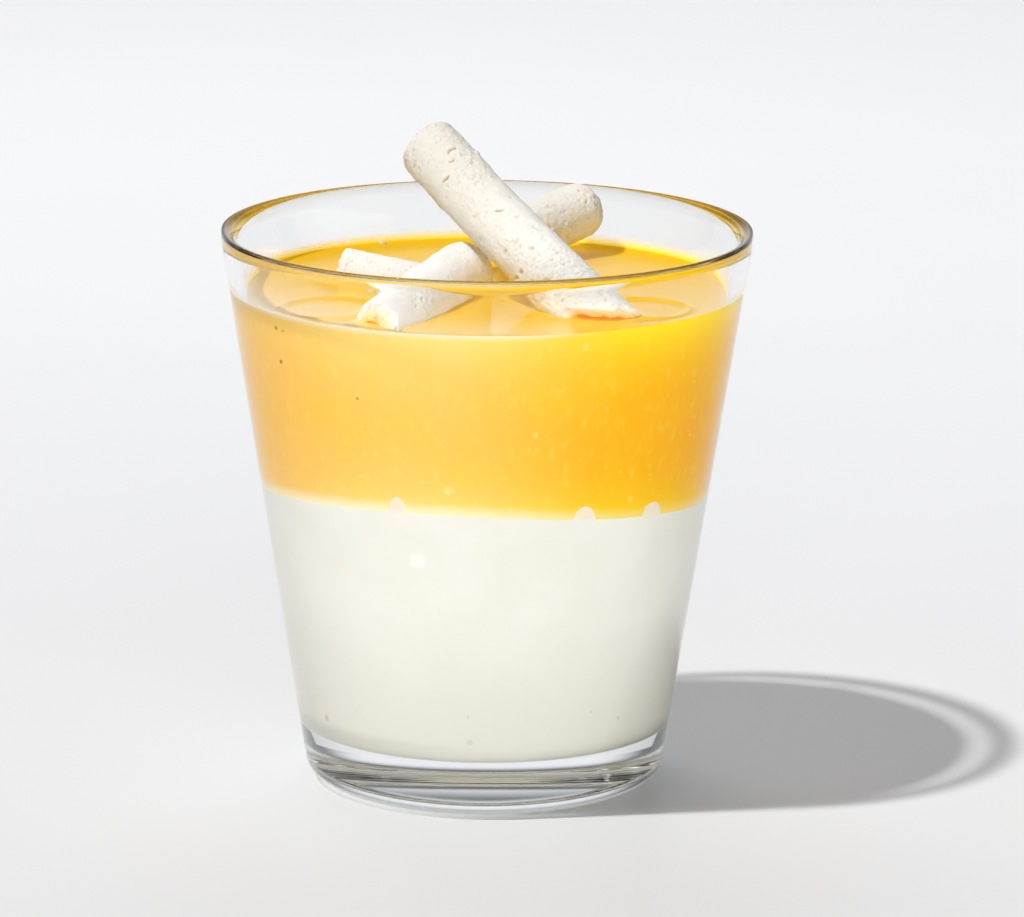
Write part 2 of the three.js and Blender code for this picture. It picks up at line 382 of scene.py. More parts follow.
class Finish:
    """The node tree of one finish."""

    def __init__(self, tree):
        self.tree = tree
        self.tree.nodes.clear()

    def node(self, kind, settings, sockets, output=0):
        made = self.tree.nodes.new(kind)
        for name, value in settings.items():
            setattr(made, name, value)
        for name, value in sockets.items():
            if isinstance(value, Tone):
                self.tree.links.new(value.socket, made.inputs[name])
            else:
                made.inputs[name].default_value = value
        return Tone(self, made.outputs[output]) if made.outputs else None

    def place(self):
        """Where a point is, in metres in the dessert's frame."""
        return self.node("ShaderNodeTexCoord", {}, {}, "Object")

    def stretched(self, x, y, z):
        """The place, with each axis drawn out or squeezed."""
        return self.node("ShaderNodeMapping", {}, {"Vector": self.place(), "Scale": (x, y, z)})

    def mottle(self, size, detail, place=None):
        """Soft random shading from 0 to 1, with patches of about that many millimetres."""
        sockets = {"Vector": place or self.place(), "Scale": 1 / (size * MM), "Detail": detail}
        return self.node("ShaderNodeTexNoise", {}, sockets, "Fac")

    def cells(self, size):
        """Distance from scattered points that many millimetres apart."""
        sockets = {"Vector": self.place(), "Scale": 1 / (size * MM)}
        return self.node("ShaderNodeTexVoronoi", {}, sockets, "Distance")

    def spot(self, centre, radius):
        """1 within that many millimetres of a point, fading to 0 at its edge."""
        settings = {"operation": "DISTANCE"}
        sockets = {0: self.place(), 1: tuple(x * MM for x in centre)}
        away = self.node("ShaderNodeVectorMath", settings, sockets, "Value") / (radius * MM)
        return 1 - away.step(0.55, 1)

    def painted(self, name):
        """A shading value that the mesh carries at its points."""
        return self.node("ShaderNodeAttribute", {"attribute_name": name}, {}, "Fac")

    def blend(self, share, first, second):
        """From the first colour to the second as share goes from 0 to 1."""
        settings = {"data_type": "RGBA"}
        return self.node("ShaderNodeMix", settings, {0: share, 6: first, 7: second}, 2)

    def bump(self, height, distance, strength):
        sockets = {"Height": height, "Distance": distance * MM, "Strength": strength}
        return self.node("ShaderNodeBump", {}, sockets)

    def skin(self, sockets):
        return self.node("ShaderNodeBsdfPrincipled", {"subsurface_method": "RANDOM_WALK"}, sockets)

    def shown(self, shader):
        self.node("ShaderNodeOutputMaterial", {}, {"Surface": shader})


def rgb(red, green, blue):
    return (red, green, blue, 1.0)


def new_finish(name):
    material = bpy.data.materials.new(name)
    material.use_nodes = True
    return material, Finish(material.node_tree)


def clear_glass():
    material, finish = new_finish("clear_pressed_glass")
    flow = finish.mottle(14, 1.0)
    haze = finish.mottle(5, 4.0)
    # The lip's top is painted dark grey-green, a painted shade for the dark room seen through it
    lip_shaded_glass_colour = finish.blend(finish.painted("edge_tint"), rgb(0.985, 0.995, 0.99), rgb(0.14, 0.18, 0.165))
    glass = finish.skin({
        "Base Color": lip_shaded_glass_colour,
        "Roughness": 0.004 + 0.012 * haze.step(0.55, 0.8),
        "IOR": 1.5,
        "Transmission Weight": 1.0,
        "Normal": finish.bump(flow, 0.03, 0.25),
    })
    rays = finish.node("ShaderNodeLightPath", {}, {}, "Is Shadow Ray")
    bounced = finish.node("ShaderNodeLightPath", {}, {}, "Is Diffuse Ray")
    facing = finish.node("ShaderNodeLayerWeight", {}, {"Blend": 0.5}, "Facing")
    through = finish.node("ShaderNodeBsdfTransparent", {}, {"Color": rgb(0.93, 0.94, 0.935)})
    open_glass = (1 - facing.step(0.6, 1.0)) * (1 - 0.75 * finish.painted("lip"))
    passing = rays.math("MAXIMUM", rays, bounced) * open_glass
    finish.shown(finish.node("ShaderNodeMixShader", {}, {0: passing, 1: glass, 2: through}))
    return material


def wall_place(bearing, height):
    """A point on the inner face of the glass, from a bearing in degrees and a height."""
    turn, radius = math.radians(bearing), wall_radius(height, WALL)
    return (radius * math.cos(turn), radius * math.sin(turn), height)


def set_cream():
    material, finish = new_finish("set_cream")
    cloud = finish.mottle(9, 3.0)
    fine = finish.mottle(0.9, 3.0)
    colour = finish.blend(cloud.step(0.3, 0.7), rgb(0.81, 0.787, 0.7), rgb(0.84, 0.818, 0.735))
    # Painted shade: the cream is darker towards the bottom
    colour = finish.blend(finish.painted("low"), colour, rgb(0.7, 0.676, 0.595))
    colour = finish.blend(finish.painted("pale"), colour, rgb(0.97, 0.96, 0.9))
    colour = finish.blend(finish.painted("tinge"), colour, rgb(0.9, 0.7, 0.42))
    for bearing, height, radius, share in CREAM_SPECKS:
        spot = share * finish.spot(wall_place(bearing, height), radius)
        colour = finish.blend(spot, colour, rgb(0.5, 0.42, 0.3))
    finish.shown(finish.skin({
        "Base Color": colour,
        "Roughness": 0.38 + 0.12 * fine,
        "IOR": 1.4,
        "Specular IOR Level": 0.1,
        # Painted light: the cream's underside glows
        "Emission Color": finish.blend(finish.painted("underside"), rgb(0, 0, 0), FOOT_LIGHT),
        "Emission Strength": 1.0,
        "Normal": finish.bump(fine, 0.03, 0.4),
    }))
    return material


def fruit_puree(name, gloss, depth, glow):
    """Coulis that shines by its gloss, looks darker by its depth and glows by its glow, a painted light
    where it is lit through.
    """
    material, finish = new_finish(name)
    cloud = finish.mottle(11, 3.0)
    pulp = finish.mottle(1.3, 4.0, finish.stretched(1, 1, 0.7))
    fleck = finish.cells(3.1)
    # Painted shade: a deeper orange where the side is in shade; the top is this deeper orange throughout
    ripe = finish.painted("ripe")
    colour = finish.blend(ripe, rgb(0.985, 0.515, 0.125), rgb(0.975, 0.4, 0.0))
    colour = finish.blend(0.4 * cloud.step(0.4, 0.7), colour, rgb(0.97, 0.53, 0.045))
    colour = finish.blend(0.32 * pulp.step(0.5, 0.72), colour, rgb(0.99, 0.66, 0.15))
    colour = finish.blend(0.35 * (1 - fleck.step(0.04, 0.13)), colour, rgb(0.99, 0.74, 0.25))
    # Painted glow: a brighter yellow near the cream, near the top and over the top
    lit_edge = finish.blend(ripe, rgb(0.99, 0.78, 0.28), rgb(0.99, 0.68, 0.01))
    colour = finish.blend(finish.painted("near_edge"), colour, lit_edge)
    colour = finish.blend(finish.painted("near_cream"), colour, rgb(0.985, 0.84, 0.52))
    for bearing, height, radius, share in PULP_SPOTS:
        spot = share * finish.spot(wall_place(bearing, height), radius) * pulp.step(0.35, 0.6)
        colour = finish.blend(spot, colour, rgb(0.99, 0.78, 0.3))
    for bearing, height, radius, share in DARK_SPECKS:
        spot = share * finish.spot(wall_place(bearing, height), radius)
        colour = finish.blend(spot, colour, rgb(0.2, 0.1, 0.01))
    colour = finish.blend(depth, colour, rgb(0.5, 0.25, 0.02))
    # Painted sheen: a pale reflection on the front of the coulis
    colour = finish.blend(finish.painted("veil"), colour, rgb(0.95, 0.88, 0.72))
    finish.shown(finish.skin({
        "Base Color": colour,
        "Roughness": 0.08 + 0.08 * pulp,
        "IOR": 1.38,
        "Specular IOR Level": gloss,
        # Painted light: emission where the coulis is lit through
        "Emission Color": finish.blend(finish.painted("lit_through"), rgb(0, 0, 0), glow),
        "Emission Strength": 1.0,
        "Normal": finish.bump(pulp, 0.04, 0.25),
    }))
    return material


def thin_puree():
    material, finish = new_finish("thin_puree")
    pulp = finish.mottle(1.3, 3.0)
    finish.shown(finish.skin({
        "Base Color": finish.blend(pulp, rgb(0.98, 0.72, 0.06), rgb(0.99, 0.78, 0.14)),
        "Roughness": 0.12 + 0.1 * pulp,
        "IOR": 1.38,
        "Specular IOR Level": 0.1,
        # Painted light: the film glows as if lit from behind
        "Emission Color": rgb(0.34, 0.25, 0.03),
        "Emission Strength": 1.0,
        "Alpha": finish.painted("thickness") * (0.6 + 0.3 * pulp),
    }))
    return material


def bubble_film():
    material, finish = new_finish("bubble_film")
    swirl = finish.mottle(0.5, 2.0)
    finish.shown(finish.skin({
        "Base Color": rgb(0.93, 0.95, 0.97),
        "Roughness": 0.05 + 0.05 * swirl,
        "IOR": 1.3,
        "Transmission Weight": 0.5,
    }))
    return material


def baked_meringue():
    material, finish = new_finish("baked_meringue")
    grain = finish.mottle(0.3, 4.0)
    cloud = finish.mottle(4, 3.0)
    pin = finish.cells(0.6)
    colour = finish.blend(cloud.step(0.3, 0.7), rgb(0.86, 0.835, 0.785), rgb(0.89, 0.87, 0.825))
    colour = finish.blend(finish.painted("toast"), colour, rgb(0.66, 0.63, 0.56))
    # Pits and pocks are painted tan, partly their own crumb and partly painted shade
    colour = finish.blend(0.5 * finish.painted("pore"), colour, rgb(0.64, 0.52, 0.36))
    colour = finish.blend(0.3 * finish.painted("broken"), colour, rgb(0.8, 0.7, 0.52))
    # A coulis stain in the hollows, which also glow with painted light below
    colour = finish.blend(finish.painted("wetted"), colour, rgb(0.96, 0.52, 0.06))
    height = grain - 0.8 * (1 - pin.step(0.08, 0.25))
    # Painted light: low parts near the coulis glow with its bounced light
    low_light = finish.blend(finish.painted("near_coulis"), rgb(0, 0, 0), LOW_GLOW)
    finish.shown(finish.skin({
        "Base Color": colour,
        "Roughness": 0.78 + 0.15 * grain,
        "IOR": 1.3,
        "Specular IOR Level": 0.3,
        "Subsurface Weight": 0.45,
        "Subsurface Radius": (1.0, 0.8, 0.5),
        "Subsurface Scale": 1.2 * MM,
        "Emission Color": finish.blend(finish.painted("wetted"), low_light, BORE_GLOW),
        "Emission Strength": 1.0,
        "Normal": finish.bump(height, 0.12, 0.85),
    }))
    return material


def pale_table():
    material, finish = new_finish("pale_table")
    grain = finish.mottle(60, 2.0)
    finish.shown(finish.skin({
        "Base Color": finish.blend(grain, rgb(0.71, 0.71, 0.715), rgb(0.73, 0.73, 0.73)),
        "Roughness": 0.28 + 0.04 * grain,
        "IOR": 1.4,
        "Specular IOR Level": 0.2,
    }))
    return material


class Grain:
    """A smooth random field in space, from -1 to 1."""

    CELLS = 32

    def __init__(self, seed):
        rng = np.random.default_rng(seed)
        self.lattice = rng.uniform(-1, 1, (self.CELLS,) * 3)

    def __call__(self, points, size):
        scaled = np.asarray(points, float) / size
        cell = np.floor(scaled).astype(int)
        share = scaled - cell
        share = share * share * (3 - 2 * share)
        total = 0
        for corner in np.ndindex(2, 2, 2):
            near = np.where(np.array(corner) == 1, share, 1 - share).prod(-1)
            index = np.moveaxis((cell + corner) % self.CELLS, -1, 0)
            total = total + near * self.lattice[tuple(index)]
        return total

    def relief(self, points, layers):
        """The sum of layers of (height, size, shift) of this field."""
        return sum(height * self(points + shift, size) for height, size, shift in layers)


def smooth(value, low, high):
    share = np.clip((value - low) / (high - low), 0, 1)
    return share * share * (3 - 2 * share)


def between(value, rise, fall):
    """0, then 1 between a rise and a fall, each given as its two ends, then 0 again."""
    return smooth(value, *rise) * (1 - smooth(value, *fall))


def fading(start, reach, distance):
    """A value that starts at the given one and dies away over about that reach."""
    return start * np.exp(-distance / reach)


def wall_radius(height, inset):
    """Radius at a height, set in from the outer wall by a distance square to it."""
    return FOOT_RADIUS + TAPER * height - inset / math.cos(LEAN)


def arc(centre_radius, centre_height, radius, start, end, steps):
    angles = np.linspace(start, end, steps + 1)
    out, up = np.cos(angles), np.sin(angles)
    return np.stack([centre_radius + radius * out, centre_height + radius * up], -1)


def floor_corner(floor, inset, radius, steps):
    height = floor + radius
    centre = wall_radius(height, inset) - radius / math.cos(LEAN)
    return arc(centre, height, radius, -math.pi / 2, -LEAN, steps)


def straight(start, end, steps):
    return np.linspace(start, end, steps + 1)


def even(profile, spacing):
    """The same profile with its points about that far apart."""
    steps = np.linalg.norm(np.diff(profile, axis=0), axis=1)
    run = np.concatenate([[0], np.cumsum(steps)])
    places = np.linspace(0, run[-1], round(run[-1] / spacing) + 1)
    return np.stack([np.interp(places, run, profile[:, i]) for i in range(2)], -1)


def bearings(sides):
    return np.arange(sides) * 2 * math.pi / sides


def rings(profile, sides):
    """Radius, bearing and height of a profile's points, but its two ends, turned round the axis."""
    radius, bearing = np.meshgrid(profile[1:-1, 0], bearings(sides), indexing="ij")
    height = np.repeat(profile[1:-1, 1:], sides, axis=1)
    return radius, bearing, height


def skin(first, body, last):
    """Points and faces of a closed skin: a point on the axis, rings of points and a last point on it."""
    rows, sides = body.shape[:2]
    points = np.concatenate([[first], body.reshape(-1, 3), [last]])
    near = 1 + np.arange(rows * sides).reshape(rows, sides)
    ahead = np.roll(near, -1, axis=1)
    quads = np.stack([near[:-1], ahead[:-1], ahead[1:], near[1:]], -1).reshape(-1, 4)
    start = np.stack([np.zeros(sides, int), ahead[0], near[0]], -1)
    end = np.stack([np.full(sides, len(points) - 1), near[-1], ahead[-1]], -1)
    return points, [*quads.tolist(), *start.tolist(), *end.tolist()]


def capped(values, first, last):
    """Shading values of a skin's rings, with those of its first and last point."""
    return np.concatenate([[first], np.clip(values, 0, 1).ravel(), [last]])


def piece(name, points, faces, material, paint=None):
    """A smooth mesh of millimetre points, with any shading values at its points."""
    mesh = bpy.data.meshes.new(name)
    mesh.from_pydata((np.asarray(points) * MM).tolist(), [], faces)
    mesh.materials.append(material)
    mesh.shade_smooth()
    for layer, values in (paint or {}).items():
        stored = mesh.attributes.new(layer, "FLOAT", "POINT")
        stored.data.foreach_set("value", np.asarray(values, np.float32))
    mesh.update()
    made = bpy.data.objects.new(name, mesh)
    bpy.context.scene.collection.objects.link(made)
    return made


def part_of_dessert(made, slot, *nodes):
    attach(made, "root")
    if nodes:
        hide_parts(*nodes)


def upright(radius, bearing, height):
    return np.stack([radius * np.cos(bearing), radius * np.sin(bearing), height], -1)


def on_axis(height):
    return np.array([0.0, 0.0, height])


def lip_section():
    """The round lip from the outer wall over its peak, near the outside, to the inner wall."""
    turn = np.linspace(0, math.pi, 64)
    outer = LIP_PEAK * (1 - np.maximum(np.cos(turn), 0))
    inner = (1 - LIP_PEAK) * np.maximum(-np.cos(turn), 0)
    height = GLASS_HEIGHT - LIP_TALL * (1 - np.sin(turn))
    return np.stack([wall_radius(height, WALL * (outer + inner)), height], -1)


def tumbler():
    out = np.linspace(0, 1, 16)
    punt = np.stack([PUNT_RADIUS * out, PUNT_DEPTH * (1 - out * out)], -1)
    heel = arc(wall_radius(HEEL_ROUND, HEEL_ROUND), HEEL_ROUND, HEEL_ROUND, -math.pi / 2, -LEAN, 20)
    lip = lip_section()
    corner = floor_corner(FLOOR_HEIGHT, WALL, FLOOR_CORNER, 20)[::-1]
    profile = np.concatenate([
        punt,
        heel,
        straight(heel[-1], lip[0], 40)[1:-1],
        lip,
        straight(lip[-1], corner[0], 40)[1:-1],
        corner,
        straight(corner[-1], (0, FLOOR_HEIGHT), 12)[1:],
    ])
    turned = rings(profile, GLASS_SIDES)
    radius, bearing, height = turned
    lip_start = GLASS_HEIGHT - LIP_SHADE
    at_lip = smooth(height, lip_start, lip_start + LIP_SHADE_FADE)
    # Painted shade on the lip's top: tallest inside the peak, and faded at the back
    inside_peak = radius < wall_radius(height, LIP_PEAK * WALL)
    painted_shade_tall = np.where(inside_peak, LIP_PAINTED_SHADE_TALL, LIP_PAINTED_SHADE_OUTSIDE)
    edge_tint = smooth((height - GLASS_HEIGHT) / painted_shade_tall, -1, 0)
    edge_tint = edge_tint * (1 - (1 - LIP_PAINTED_SHADE_BACK) * smooth(np.sin(bearing), *LIP_BACK))
    made = piece(
        "clear_glass",
        *skin(on_axis(PUNT_DEPTH), upright(*turned), on_axis(FLOOR_HEIGHT)),
        clear_glass(),
        {"lip": capped(at_lip, 0, 0), "edge_tint": capped(edge_tint, 0, 0)},
    )
    part_of_dessert(made, "clear_glass", "glass")


def cream_line(bearing):
    """Height of the line between the layers at the wall."""
    turn = bearing - CREAM_HIGH_BEARING
    ripple = Grain(5)(upright(RIPPLE_RING, bearing, 0 * bearing), RIPPLE_SIZE)
    swell = CREAM_TILT * np.cos(turn) + CREAM_SWAY * np.cos(2 * turn)
    return CREAM_LEVEL + swell + CREAM_EDGE_RIPPLE * ripple


def turned_from(bearing, degrees):
    """How far bearings are turned from one in degrees, in radians from -pi to pi."""
    return (bearing - math.radians(degrees) + math.pi) % (2 * math.pi) - math.pi


def cream_domes(bearing):
    """How far bubbles caught at the wall lift the line between the layers."""
    lift = np.zeros_like(bearing)
    for at_bearing, half_width, tall in CREAM_DOMES:
        across = wall_radius(CREAM_LEVEL, WALL) * turned_from(bearing, at_bearing) / half_width
        lift = lift + tall * np.sqrt(np.clip(1 - across ** 2, 0, 1))
    return lift


def near_wall_spot(radius, bearing, height, spot):
    """How close each point of a layer's side is to a spot on the wall, in spot radii."""
    spot_bearing, spot_height, spot_radius = spot
    return np.hypot(radius * turned_from(bearing, spot_bearing), height - spot_height) / spot_radius


def held_edge(edge, inset):
    """The top edge of a layer with a point close to it on both sides, which keeps its shading crisp."""
    radius, height = edge
    below = (wall_radius(height - EDGE_HOLD, inset), height - EDGE_HOLD)
    return np.array([below, edge, (radius - EDGE_HOLD, height)])


def panna_cotta():
    inset = WALL - CREAM_REACH
    floor = FLOOR_HEIGHT - CREAM_REACH
    corner = floor_corner(floor, inset, FLOOR_CORNER, 16)
    edge = (wall_radius(CREAM_LEVEL, inset), CREAM_LEVEL)
    profile = np.concatenate([
        straight((0, floor), corner[0], 10),
        corner[1:],
        straight(corner[-1], edge, 70)[1:-1],
        held_edge(edge, inset),
        straight(edge, (0, CREAM_LEVEL), 24)[1:],
    ])
    radius, bearing, height = rings(profile, LAYER_SIDES)
    share = smooth(height, CREAM_LEVEL - SWELL_REACH, CREAM_LEVEL)
    dome = cream_domes(bearing) * smooth(height, CREAM_LEVEL - DOME_REACH, CREAM_LEVEL)
    dome = dome * smooth(radius, edge[0] - DOME_DEPTH, edge[0])
    rise = (cream_line(bearing) - CREAM_LEVEL) * share * (radius / edge[0]) ** 2 + dome
    height = height + rise
    radius = np.where(share < 1, radius + TAPER * rise, radius * (1 + TAPER * rise / edge[0]))
    pale = PALE_SPOT_SHADE * (1 - smooth(near_wall_spot(radius, bearing, height, PALE_SPOT), 0, 1))
    tinge = DOME_TINGE * smooth(height - cream_line(bearing), *DOME_TINGE_RISE)
    made = piece(
        "panna_cotta_layer",
        *skin(on_axis(floor), upright(radius, bearing, height), on_axis(CREAM_LEVEL)),
        set_cream(),
        {
            "pale": capped(pale, 0, 0),
            # Painted shade darker towards the bottom, and a painted glow on the underside
            "low": capped(1 - smooth(height, *CREAM_LOW_SHADE), 1, 0),
            "tinge": capped(tinge, 0, 0),
            "underside": capped(1 - smooth(height, floor, floor + UNDERSIDE_GLOW_TALL), 1, 0),
        },
    )
    part_of_dessert(made, "cream", "panna_cotta")


def stick_axis(stick):
    foot, tip = np.array(stick["foot"], float), np.array(stick["tip"], float)
    length = np.linalg.norm(tip - foot)
    return foot, tip, length


def from_stick(stick, points):
    """Distance of points from a stick's skin, negative inside it."""
    foot, tip, length = stick_axis(stick)
    share = np.clip((points - foot) @ (tip - foot) / length ** 2, 0, 1)
    axis = foot + share[..., None] * (tip - foot)
    return np.linalg.norm(points - axis, axis=-1) - np.mean(stick["radii"])


def coulis_top(radius, bearing, edge):
    """Height of the coulis's surface, which climbs at the wall and the sticks and has two soft rings."""
    points = upright(radius, bearing, np.full_like(radius, COULIS_LEVEL))
    rise = SURFACE_WAVE * Grain(9)(points, SURFACE_WAVE_SIZE)
    for stick in STICKS:
        away = np.maximum(from_stick(stick, points), 0)
        rise = rise + fading(STICK_RISE, STICK_RISE_REACH, away)
    for x, y in RING_CENTRES:
        across = (points[..., 0] - x) / RING_SIZE[0]
        along = (points[..., 1] - y) / RING_SIZE[1]
        from_ring = (np.hypot(across, along) - 1) * np.mean(RING_SIZE)
        rise = rise + RING_RISE * np.exp(-(from_ring / RING_WIDTH) ** 2)
    inland = smooth(edge - radius, 0, SHORE)
    return COULIS_LEVEL + fading(MENISCUS_RISE, MENISCUS_REACH, edge - radius) + rise * inland


def fruit_coulis():
    inset = WALL - COULIS_REACH
    bottom = CREAM_LEVEL - LAYER_OVERLAP
    top = COULIS_LEVEL + MENISCUS_RISE
    low_edge = (wall_radius(bottom, inset), bottom)
    edge = wall_radius(top, inset)
    rows = round(edge / COULIS_SPACING)
    under = straight((0, bottom), low_edge, 16)
    held = held_edge((edge, top), inset)
    side = np.concatenate([straight(low_edge, (edge, top), 70)[1:-1], held[:2]])
    over = np.concatenate([held[2:], straight((edge, top), (0, top), rows)[1:]])
    radius, bearing, height = rings(np.concatenate([under, side, over]), LAYER_SIDES)
    line = cream_line(bearing) - CREAM_LEVEL
    below = (np.arange(len(radius)) < len(under) - 1)[:, None]
    above = (np.arange(len(radius)) >= len(under) + len(side) - 2)[:, None]
    share = 1 - smooth(height, bottom, top)
    dome = cream_domes(bearing) * (1 - smooth(height, bottom, bottom + DOME_REACH))
    dome = dome * smooth(radius, low_edge[0] - DOME_DEPTH, low_edge[0])
    rise = np.where(below, line * (radius / low_edge[0]) ** 2, line * share) + dome
    flat = np.where(above, coulis_top(radius, bearing, edge), height + rise)
    radius = np.where(above, radius, radius + TAPER * rise * (radius / low_edge[0]))
    deep = np.maximum(flat - cream_line(bearing), 0)
    shallow = np.maximum(top - flat, 0)
    turn = np.degrees(bearing) - 360
    # Painted glow of the side near the cream and near its top, stronger at the front, and a glow lit
    # through from the right
    facing = BACK_GLOW + (1 - BACK_GLOW) * between(turn, FRONT_UP, FRONT_DOWN)
    glow = fading(CREAM_GLOW, CREAM_GLOW_REACH, deep) + fading(EDGE_GLOW, EDGE_GLOW_REACH, shallow)
    lit_through = between(turn, LIT_THROUGH_UP, LIT_THROUGH_DOWN) * fading(1, LIT_THROUGH_REACH, shallow)
    # Painted shade: a deeper orange on the side where it is in shade
    ripe = between(turn, SHADED_ORANGE_UP, SHADED_ORANGE_DOWN)
    pale = PALE_LINE * (1 - smooth(deep, 0, PALE_LINE_REACH)) * (1 - PALE_LINE_SHADED_LOSS * ripe)
    # Painted sheen: a pale reflection at the front, along the wall, far in from it and down the side
    in_front = smooth(-np.sin(bearing), *SHEEN_FRONT) * (1 - smooth(np.cos(bearing), *SHEEN_RIGHT))
    at_wall = SHEEN * (1 - smooth(edge - radius, 0, SHEEN_WIDTH))
    far_in = SHEEN_INSIDE * (1 - smooth(edge - radius, SHEEN_WIDTH, SHEEN_INSIDE_WIDTH))
    on_side = SHEEN_SIDE * (1 - smooth(shallow, 0, SHEEN_SIDE_TALL))
    veil = in_front * np.where(above, np.maximum(at_wall, far_in), on_side)
    middle = coulis_top(np.zeros(1), np.zeros(1), edge)[0]
    made = piece(
        "fruit_coulis_layer",
        *skin(on_axis(bottom), upright(radius, bearing, flat), on_axis(middle)),
        fruit_puree("fruit_puree_side", 0.05, 0, RIGHT_GLOW),
        {
            "near_edge": capped(np.where(above, TOP_LIGHT, facing * glow), 0, TOP_LIGHT),
            "near_cream": capped(pale, 0, 0),
            "ripe": capped(np.where(above, 1, ripe), 1, 1),
            "veil": capped(veil, 0, 0),
            "lit_through": capped(np.where(above, 1, lit_through), 0, 1),
        },
    )
    made.data.materials.append(fruit_puree("fruit_puree_top", 0.42, 0.62, TOP_GLOW))
    for face in made.data.polygons:
        if face.normal.z > TOP_SLOPE and face.center.z > (COULIS_LEVEL - TOP_BAND) * MM:
            face.material_index = 1
    part_of_dessert(made, "coulis", "fruit_coulis")


def banded(body):
    """Points and faces of a band that closes on itself along and across."""
    rows, sides = body.shape[:2]
    near = np.arange(rows * sides).reshape(rows, sides)
    ahead = np.roll(near, -1, axis=1)
    quads = np.stack([near, ahead, np.roll(ahead, -1, axis=0), np.roll(near, -1, axis=0)], -1)
    return body.reshape(-1, 3), quads.reshape(-1, 4).tolist()


def wall_film():
    """The thin film of coulis that clings to the back wall above the surface and fades upwards."""
    rows = np.linspace(0, 1, WALL_FILM_ROWS)
    share, bearing = np.meshgrid(rows, bearings(LAYER_SIDES), indexing="ij")
    low = COULIS_LEVEL + WALL_FILM_START * MENISCUS_RISE
    at_back = smooth(np.sin(bearing), *WALL_FILM_BACK)
    height = low + (WALL_FILM_LEAST * MENISCUS_RISE + WALL_FILM_TALL * at_back) * share
    outside = wall_radius(height, WALL - WALL_FILM_REACH)
    inside = wall_radius(height, WALL) - WALL_FILM_THICK * (1 - share)
    body = np.concatenate([upright(outside, bearing, height), upright(inside, bearing, height)[::-1]])
    above = (height - COULIS_LEVEL - MENISCUS_RISE) / WALL_FILM_TALL
    fade = np.clip(1 - above, 0, 1) ** WALL_FILM_FADE
    thickness = np.concatenate([fade, fade[::-1]]).ravel()
    made = piece("coulis_wall_film", *banded(body), thin_puree(), {"thickness": thickness})
    part_of_dessert(made, "coulis")


def stick_profile(stick, length):
    """A stick's profile from its foot to its tip, and where the broken end stops along it."""
    foot_radius, tip_radius = stick["radii"]
    parts = []
    if stick["bore"] > 0:
        bore = stick["bore"]
        end = (BORE_END[0] * bore, BORE_DEPTH - BORE_END[1])
        mouth, rim = ((bore + flare, height) for flare, height in BORE_MOUTH)
        parts += [
            straight((0, BORE_DEPTH), end, 8),
            straight(end, (bore, BORE_DEPTH / 2), 8)[1:],
            straight((bore, BORE_DEPTH / 2), mouth, 8)[1:],
            straight(mouth, rim, 3)[1:],
        ]
    else:
        parts.append(np.array([(0.0, 0.0), (0.5, 0.0)]))
    parts.append(np.array([(foot_radius - FOOT_ROUND, 0.0)]))
    broken = np.concatenate(parts)
    edge = arc(foot_radius - FOOT_ROUND, FOOT_ROUND, FOOT_ROUND, -math.pi / 2, 0, 8)[1:]
    tip_round = stick["tip_round"]
    tip = arc(tip_radius - tip_round, length - tip_round, tip_round, 0, math.pi / 2, 16)
    profile = np.concatenate([broken, edge, tip, [(0.0, length)]])
    run = np.linalg.norm(np.diff(broken, axis=0), axis=1).sum()
    return even(profile, STICK_SPACING), run


def dent(depth, stick, bearing, height, centre, size, turn, bend):
    """Deepens a stick's skin by a long dent; size is half its length, half its width and its depth."""
    at_height, at_bearing = centre
    long, wide, deep = size
    radius = np.mean(stick["radii"])
    rows = np.flatnonzero(np.abs(height[:, 0] - at_height) < 2 * long)
    if not len(rows):
        return
    block = slice(rows[0], rows[-1] + 1)
    around = radius * ((bearing[block] - at_bearing + math.pi) % (2 * math.pi) - math.pi)
    up = height[block] - at_height
    first = around * math.cos(turn) + up * math.sin(turn)
    second = up * math.cos(turn) - around * math.sin(turn) + bend * long * np.sin(3 * first / long)
    inside = deep * np.exp(-((first / long) ** 2 + (second / wide) ** 2) ** 2)
    depth[block] = np.where(np.abs(inside) > np.abs(depth[block]), inside, depth[block])


def pitted(stick, bearing, height, rng, grain):
    """Depth of the small holes, short slits and knobs of a stick's skin."""
    radius, length = np.mean(stick["radii"]), stick_axis(stick)[2]
    depth = np.zeros_like(bearing)
    count = round(stick["pits_per_mm2"] * 2 * math.pi * radius * length)
    for _ in range(count):
        centre = (rng.uniform(0, length), rng.uniform(-math.pi, math.pi))
        place = np.array([radius * math.cos(centre[1]), radius * math.sin(centre[1]), centre[0]])
        coarse = grain(place, COARSE_PATCH) > COARSE_FROM
        wide = rng.uniform(*PIT_HALF_WIDTH) * (COARSE_PITS if coarse else 1)
        long = wide * rng.uniform(*PIT_LENGTH)
        size = (long, wide, wide * rng.uniform(*PIT_DEPTH))
        dent(depth, stick, bearing, height, centre, size, rng.uniform(*PIT_TURN), PIT_BEND)
    for at_height, at_bearing, long, turn in stick["slits"]:
        centre = (at_height, math.radians(at_bearing))
        size = (long, SLIT_HALF_WIDTH, SLIT_DEPTH)
        dent(depth, stick, bearing, height, centre, size, turn, SLIT_BEND)
    for at_height, at_bearing, wide in stick["knobs"]:
        centre = (at_height, math.radians(at_bearing))
        dent(depth, stick, bearing, height, centre, (wide, wide, -KNOB_TALL * wide), 0, 0)
    return depth


def notched(stick, bearing):
    """How far the break runs back along a stick at the notch in its foot."""
    if stick["notch"] is None:
        return 0 * bearing
    middle, half_width, deep = stick["notch"]
    turn = np.degrees(turned_from(bearing, middle))
    return deep * np.exp(-(turn / half_width) ** 2)


